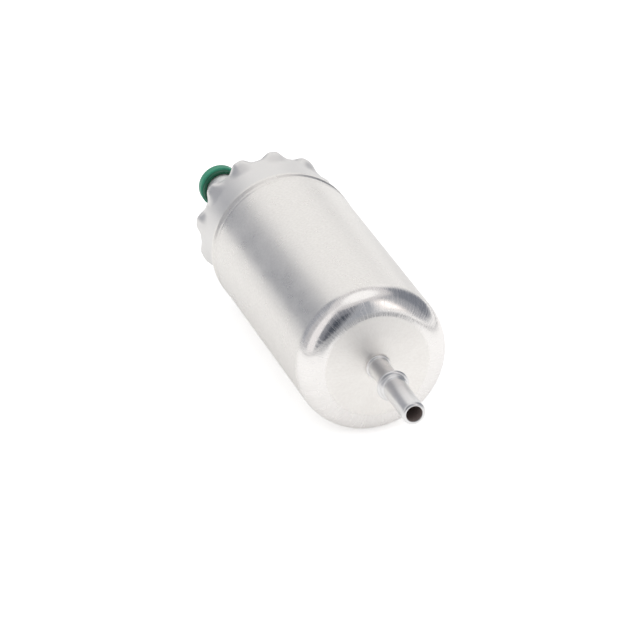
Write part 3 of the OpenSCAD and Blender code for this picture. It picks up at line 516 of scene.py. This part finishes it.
def stretched(material, value):
    """noise keeps near its middle; this spreads it from 0 to 1"""
    return node(material, "ShaderNodeMapRange", {0: value, 1: 0.36, 2: 0.64}).outputs[0]


def mixed(material, share, low, high):
    """a number between low and high, each a plain number or another such value"""
    return node(material, "ShaderNodeMapRange", {0: share, 3: low, 4: high}).outputs[0]


def noise(material, vector, scale, detail, rough):
    return node(material, "ShaderNodeTexNoise", {"Vector": vector, "Scale": scale, "Detail": detail,
                                                 "Roughness": rough}).outputs[0]


def vector_of(material, x, y, z):
    return node(material, "ShaderNodeCombineXYZ", {0: x, 1: y, 2: z}).outputs[0]


def above(material, value, limit, soft):
    """1 above the limit and 0 below it, fading over soft"""
    return node(material, "ShaderNodeMapRange", {0: value, 1: limit - soft, 2: limit + soft},
                interpolation_type='SMOOTHSTEP').outputs[0]


def below(material, value, limit, soft):
    return node(material, "ShaderNodeMapRange",
                {0: value, 1: limit - soft, 2: limit + soft, 3: 1.0, 4: 0.0},
                interpolation_type='SMOOTHSTEP').outputs[0]


def coloured(material, share, low, high):
    """a colour between low and high, each a triple or another such colour"""
    low, high = ((*c, 1) if isinstance(c, tuple) else c for c in (low, high))
    return node(material, "ShaderNodeMix", {0: share, 6: low, 7: high}, data_type='RGBA').outputs[2]


def tint(material, shader, share, dark, light):
    material.node_tree.links.new(coloured(material, share, dark, light), shader.inputs["Base Color"])


def relief(material, shader, height, depth_mm, strength):
    bump = node(material, "ShaderNodeBump", {"Height": height, "Distance": depth_mm * MM,
                                             "Strength": strength})
    material.node_tree.links.new(bump.outputs[0], shader.inputs["Normal"])


def roughness(material, shader, value):
    material.node_tree.links.new(value, shader.inputs["Roughness"])


def dress(material, *pieces):
    for piece in pieces:
        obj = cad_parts[piece] if isinstance(piece, str) else piece
        obj.data.materials.clear()
        obj.data.materials.append(material)
    print(material.name, "on", len(pieces))


# %% [markdown]
# ## Drawn aluminium
# The can's tube is matt from drawing and washing, with a very fine woven grain. Its shoulder was
# burnished by the die, so it mirrors softly, with fine strokes that run over the edge. One network does
# both: a mask from the place along the section lowers the roughness on the shoulder alone. A second mask
# leaves the front face matt, and also paints it a little lighter: that is painted light, for the bright
# table that the face mirrors. The turn is in radians, so a turn times 26 in front of the noise gives
# some 160 grains round the can.

# %% Can finish
FACE_EDGE_R, SHOULDER_END_Y, FACE_END_Y = 18.0, -46.2, -51
can_metal, shader = new_finish("drawn aluminium", (0.86, 0.85, 0.83), 1.0, 0.34)
m = can_metal
turn, radius, along = round_axis(m)
shoulder = times(m, below(m, along, SHOULDER_END_Y, 1.6), above(m, radius, FACE_EDGE_R, 0.7))
front = times(m, below(m, along, FACE_END_Y, 0.3), below(m, radius, FACE_EDGE_R, 0.7))
grain = noise(m, vector_of(m, times(m, turn, 26), times(m, along, 1.6), radius), 1.0, 2, 0.7)
weave = noise(m, vector_of(m, times(m, turn, 40), times(m, along, 0.5), 0.0), 1.0, 2, 0.6)
bands = noise(m, vector_of(m, 0.0, times(m, along, 0.9), 0.0), 1.0, 3, 0.7)
strokes = noise(m, vector_of(m, times(m, turn, 60), times(m, along, 0.10), times(m, radius, 0.15)),
                1.0, 3, 0.65)
blotch = noise(m, vector_of(m, times(m, turn, 4), times(m, along, 0.11), times(m, radius, 0.11)),
               1.0, 3, 0.6)
fine = maths(m, 'ADD', times(m, grain, 0.6), times(m, weave, 0.4))
fine = maths(m, 'ADD', fine, times(m, bands, 0.5))
relief(m, shader, mixed(m, shoulder, fine, times(m, strokes, 0.5)), 0.03, 0.6)
grain, strokes, blotch = (stretched(m, value) for value in (grain, strokes, blotch))
matt = mixed(m, front, mixed(m, blotch, 0.27, 0.33), 0.42)
polished = mixed(m, strokes, 0.11, 0.30)
roughness(m, shader, mixed(m, shoulder, matt, polished))
wear = maths(m, 'ADD', times(m, blotch, 0.3), times(m, grain, 0.7))
tube = coloured(m, wear, (0.775, 0.75, 0.72), (0.895, 0.87, 0.84))
edge = coloured(m, strokes, (0.91, 0.885, 0.865), (0.97, 0.945, 0.925))
# painted light: the front face's colour is lighter than the tube's, standing in for the bright table
# that the face mirrors; its matt roughness is real
face = coloured(m, wear, (0.935, 0.905, 0.87), (0.995, 0.97, 0.935))
tint(m, shader, front, coloured(m, shoulder, tube, edge), face)
dress(can_metal, can)

# %% [markdown]
# ## Other metals
# A casting is a little duller and has a fine sand-like skin. Turned steel shows rings where the tool
# passed, which are noise that changes along the axis only. Ground, laminated and sintered parts
# inside the pump differ in the same few numbers, so one function with those numbers makes them all.

# %% Cast cover finish
cast_metal, shader = new_finish("cast aluminium", (0.84, 0.83, 0.81), 1.0, 0.36)
m = cast_metal
cloud = noise(m, object_spot(m), 90, 3, 0.6)
roughness(m, shader, mixed(m, cloud, 0.32, 0.46))
tint(m, shader, cloud, (0.77, 0.755, 0.74), (0.86, 0.845, 0.83))
relief(m, shader, noise(m, object_spot(m), 2600, 4, 0.6), 0.05, 0.5)
dress(cast_metal, cover)


# %% Turned metal
def turned_metal(name, dark, light, rough, ring=6.0, depth=0.01, x_off=0.0, z_off=0.0, bore=0.0, tip=0.0,
                 grip=0.3):
    """ring is how close the tool marks lie, grip how strongly they show; inside the radius bore the
    metal is dark, but for a lip at tip"""
    material, shader = new_finish(name, light, 1.0, rough)
    turn, radius, along = round_axis(material, x_off, z_off)
    rings = noise(material, vector_of(material, 0.0, times(material, along, ring),
                                      times(material, radius, ring * 0.7)), 1.0, 4, 0.7)
    shade = noise(material, vector_of(material, turn, times(material, along, 0.5), radius), 1.2, 3, 0.6)
    roughness(material, shader, mixed(material, shade, rough * 0.75, rough * 1.3))
    if bore:
        from_tip = maths(material, 'ABSOLUTE', maths(material, 'SUBTRACT', along, tip))
        lip = node(material, "ShaderNodeMapRange",
                   {0: from_tip, 1: 0.15, 2: 0.6, 3: 1.0, 4: 0.0}).outputs[0]
        outside = node(material, "ShaderNodeMapRange", {0: radius, 1: bore, 2: bore + 0.25}).outputs[0]
        bright = maths(material, 'MAXIMUM', outside, lip)
        shade = times(material, maths(material, 'MULTIPLY_ADD', shade, 0.2, 0.85), bright)
        material.node_tree.links.new(bright, shader.inputs["Metallic"])
    tint(material, shader, shade, dark, light)
    relief(material, shader, rings, depth, grip)
    return material


dress(turned_metal("turned steel", (0.26, 0.21, 0.20), (0.88, 0.875, 0.87), 0.30, 1.2,
                   bore=BORE_R + 0.02, tip=TIP_Y, grip=0.03), pipe)
dress(turned_metal("turned aluminium", (0.26, 0.21, 0.20), (0.92, 0.91, 0.90), 0.5,
                   x_off=PORT_X, z_off=PORT_Z, bore=STUB_BORE_R + 0.02, tip=STUB_TIP), stub)
dress(turned_metal("machined plate", (0.55, 0.55, 0.56), (0.76, 0.76, 0.77), 0.3, 3.0),
      "inlet_plate", "base_plate")
dress(turned_metal("ground steel", (0.38, 0.39, 0.40), (0.56, 0.57, 0.58), 0.22, 9.0),
      "stage_ring", "inner_gear", "outer_gear", "shaft")


# %% Small parts and works
def grained_metal(name, dark, light, rough, scale, depth=0.02):
    material, shader = new_finish(name, light, 1.0, rough)
    spot = object_spot(material)
    patches = noise(material, spot, scale, 3, 0.6)
    roughness(material, shader, mixed(material, patches, rough * 0.75, rough * 1.3))
    tint(material, shader, patches, dark, light)
    relief(material, shader, noise(material, spot, scale * 6, 3, 0.6), depth, 0.4)
    return material


dress(grained_metal("zinc plate", (0.42, 0.43, 0.46), (0.60, 0.61, 0.64), 0.3, 700),
      "stage_screws", "relief_ball", "valve_ball", "magnet_clips", "inlet_strainer", *coils)
dress(grained_metal("rolled steel", (0.24, 0.24, 0.25), (0.42, 0.43, 0.44), 0.4, 260), "flux_ring")
dress(grained_metal("sintered bronze", (0.40, 0.25, 0.11), (0.68, 0.47, 0.22), 0.42, 2400, 0.05),
      "front_bush", "rear_bush", "thrust_washers", "drive_key", "relief_plug", "valve_seat")
dress(grained_metal("tinned brass", (0.62, 0.58, 0.46), (0.80, 0.78, 0.70), 0.25, 500), tabs)


# %% Sheets and windings
def striped(name, dark, light, metallic, rough, per_mm, depth):
    material, shader = new_finish(name, light, metallic, rough)
    along = times(material, object_place(material)[1], 1000 * per_mm * 2 * pi)
    wave = maths(material, 'MULTIPLY_ADD', maths(material, 'SINE', along), 0.5, 0.5)
    tint(material, shader, wave, dark, light)
    relief(material, shader, wave, depth, 0.8)
    return material


dress(striped("steel sheets", (0.16, 0.16, 0.17), (0.40, 0.41, 0.42), 1.0, 0.42, 2.0, 0.05),
      "armature_core")
dress(striped("enamelled wire", (0.30, 0.10, 0.04), (0.78, 0.36, 0.16), 1.0, 0.3, 1.6, 0.15),
      "windings", "choke_coils")
dress(turned_metal("commutator copper", (0.50, 0.24, 0.12), (0.80, 0.45, 0.26), 0.3, 8.0),
      "commutator_bars")


# %% [markdown]
# ## Plastics, rubber, ferrite and carbon
# These are not metals: their colour is their own and only the gloss is mirrored, but for painted shade
# on the cap. The cap is a soft plastic with a slightly uneven green and a smooth skin, and its slim ring
# at the mouth is painted a darker green as painted shade. The black parts are kept a little above pure
# black, because real moulded plastic never is.

# %% Dull and moulded finishes
def moulded(name, dark, light, rough, scale, depth):
    material, shader = new_finish(name, light, 0.0, rough)
    spot = object_spot(material)
    patches = noise(material, spot, scale, 3, 0.55)
    roughness(material, shader, mixed(material, patches, rough * 0.85, rough * 1.2))
    tint(material, shader, patches, dark, light)
    relief(material, shader, noise(material, spot, scale * 9, 3, 0.6), depth, 0.4)
    return material


RING_END_Y = CAP_MOUTH + 1.5
cap_plastic = moulded("green cap plastic", (0.020, 0.215, 0.125), (0.032, 0.300, 0.180), 0.34, 160, 0.01)
shader = cap_plastic.node_tree.nodes["Principled BSDF"]
shader.inputs["Specular IOR Level"].default_value = 0.35
even_green = shader.inputs["Base Color"].links[0].from_socket
along = times(cap_plastic, object_place(cap_plastic)[1], 1000)
# painted shade: the slim ring at the cap's mouth is painted a darker green for the shade and the dark
# reflections it gets beside the cover
painted_shade_ring = below(cap_plastic, along, RING_END_Y, 0.25)
tint(cap_plastic, shader, painted_shade_ring, even_green, (0.004, 0.085, 0.044))
dress(cap_plastic, cap)
dress(moulded("black moulded plastic", (0.012, 0.012, 0.013), (0.028, 0.028, 0.030), 0.42, 420, 0.02),
      shroud, "brush_holder", "commutator_hub")
dress(moulded("seal rubber", (0.010, 0.010, 0.010), (0.022, 0.022, 0.022), 0.62, 600, 0.03),
      "nipple_seal", "cover_oring", "port_seal")
dress(moulded("ferrite", (0.030, 0.030, 0.033), (0.065, 0.065, 0.070), 0.55, 900, 0.04),
      "magnets", "choke_cores")
dress(moulded("pressed carbon", (0.015, 0.015, 0.015), (0.050, 0.048, 0.046), 0.5, 1500, 0.03),
      "brush_left", "brush_right")

# %% [markdown]
# ## The studio
# The pump lies on a white table in even white light. Bright metal in an all-white room would show no
# form at all, so a photographer sets grey cards and soft boxes round it, out of the picture. The
# cards here are plain curved panels that only reflections see. The world and the table show white
# to the camera and to reflections, and light the object at a plain level.

# %% Table
TABLE_R, TABLE_Z = 14, -26.25
GLOW_MIRRORED, GLOW_SEEN = 0.14, 0.45
bm = bmesh.new()
bmesh.ops.create_circle(bm, cap_ends=True, segments=96, radius=TABLE_R)
bmesh.ops.translate(bm, verts=bm.verts[:], vec=(0, 0, TABLE_Z * MM))
table = object_of(bm, "table")
table_paint, shader = new_finish("table paint", (0.88, 0.88, 0.88), 0.0, 0.9)
shader.inputs["Specular IOR Level"].default_value = 0.0
rays = node(table_paint, "ShaderNodeLightPath").outputs
mirrored = maths(table_paint, 'MAXIMUM', rays["Is Glossy Ray"], rays["Is Transmission Ray"])
glow = maths(table_paint, 'MULTIPLY_ADD', mirrored, GLOW_MIRRORED,
             times(table_paint, rays["Is Camera Ray"], GLOW_SEEN))
shader.inputs["Emission Color"].default_value = (1, 1, 1, 1)
table_paint.node_tree.links.new(glow, shader.inputs["Emission Strength"])
table.data.materials.append(table_paint)


# %% Cards and soft boxes round the pump
def card(name, turn0, turn1, low, high, colour, distance, soft):
    """a curved panel that fades out over soft degrees at its sides; turns from +Y towards +X and
    heights above the horizon are in degrees, the distance in metres"""
    bm = bmesh.new()
    foot, head = distance * tan(radians(low)), distance * tan(radians(high))
    a = bm.verts.new((distance * sin(radians(turn0)), distance * cos(radians(turn0)), foot))
    b = bm.verts.new((a.co.x, a.co.y, head))
    bm.edges.new((a, b))
    bmesh.ops.spin(bm, geom=bm.verts[:] + bm.edges[:], cent=(0, 0, 0), axis=(0, 0, 1), dvec=(0, 0, 0),
                   angle=-radians(turn1 - turn0), steps=36, use_duplicate=False)
    obj = object_of(bm, name)
    paint = bpy.data.materials.new(name)
    paint.use_nodes = True
    paint.node_tree.nodes.clear()
    middle = radians((turn0 + turn1) / 2)
    x, y, z = object_place(paint)
    side = maths(paint, 'MULTIPLY_ADD', x, cos(middle), times(paint, y, -sin(middle)))
    ahead = maths(paint, 'MULTIPLY_ADD', x, sin(middle), times(paint, y, cos(middle)))
    turned = times(paint, maths(paint, 'ARCTAN2', side, ahead), 180 / pi)
    half, rise = (turn1 - turn0) / 2, min(distance * radians(3), (head - foot) / 4)
    across = times(paint, above(paint, turned, soft - half, soft),
                   below(paint, turned, half - soft, soft))
    upwards = times(paint, above(paint, z, foot + rise, rise), below(paint, z, head - rise, rise))
    glow = node(paint, "ShaderNodeEmission", {"Color": (*colour, 1), "Strength": 1.0})
    clear = node(paint, "ShaderNodeBsdfTransparent")
    fade = node(paint, "ShaderNodeMixShader",
                {0: times(paint, across, upwards), 1: clear.outputs[0], 2: glow.outputs[0]})
    out = node(paint, "ShaderNodeOutputMaterial")
    paint.node_tree.links.new(fade.outputs[0], out.inputs[0])
    obj.data.materials.append(paint)
    obj.visible_camera = obj.visible_diffuse = obj.visible_shadow = False
    obj.visible_transmission = False


card("grey frame overhead", -105, 255, 48, 68, (0.66, 0.65, 0.66), 2.3, 4)
card("card behind on the left", -72, -18, -8, 52, (0.36, 0.375, 0.415), 1.6, 4)
card("card on the far left", -98, -62, -6, 50, (0.48, 0.48, 0.50), 1.8, 5)
card("card on the right", 36, 128, 1, 55, (0.20, 0.215, 0.25), 1.6, 12)
card("lighter card beside it", 104, 150, -2, 58, (0.38, 0.39, 0.42), 1.65, 8)
card("card in front on the right", 160, 188, -6, 56, (0.34, 0.36, 0.40), 1.9, 3)
card("card in front on the left", 182, 238, -6, 54, (0.22, 0.23, 0.26), 1.8, 3)
card("dark strip in front", 184, 220, -2, 36, (0.055, 0.065, 0.085), 1.7, 6)
card("low card in front", 146, 214, -8.6, 9, (0.36, 0.37, 0.39), 0.17, 11)
card("strip low behind", -16, 30, -4, 14, (0.19, 0.20, 0.23), 1.7, 4)
card("soft box on the left", 236, 266, -6, 50, (0.87, 0.85, 0.86), 1.5, 3)
card("soft box on the right", 136, 163, 4, 52, (0.83, 0.80, 0.78), 1.5, 4)
card("lamp in the soft box", 141, 159, 10, 44, (1.6, 1.5, 1.47), 1.4, 4)
card("low card round the table", 28, 326, -6.2, 0.5, (0.42, 0.42, 0.43), 0.24, 6)

# %% World
world = bpy.data.worlds.new("white studio")
bpy.context.scene.world = world
world.use_nodes = True
world.node_tree.nodes["Background"].inputs[0].default_value = (1, 1, 1, 1)
world.node_tree.nodes["Background"].inputs[1].default_value = 1.0

# %% [markdown]
# ## The camera
# The photograph looks down at 26 degrees and a little from the right of the axis, with a long lens
# from about 1.75 m. The place and the lens were fitted on the outline of the can; the focal length
# came out in widths of a picture dot and is turned into millimetres here.

# %% Camera
SENSOR, PICTURE_WIDTH, FOCAL_LENGTH = 36, 640, 5069
lens = bpy.data.cameras.new("camera")
lens.sensor_width = SENSOR
lens.lens = FOCAL_LENGTH / PICTURE_WIDTH * SENSOR
camera = bpy.data.objects.new("camera", lens)
bpy.context.collection.objects.link(camera)
camera.location = (-0.48319, -1.46747, 0.74065)
camera.rotation_euler = Vector((0.2801, 0.8553, -0.4359)).to_track_quat('-Z', 'Y').to_euler()
bpy.context.scene.camera = camera
bpy.context.scene.view_settings.view_transform = 'Standard'
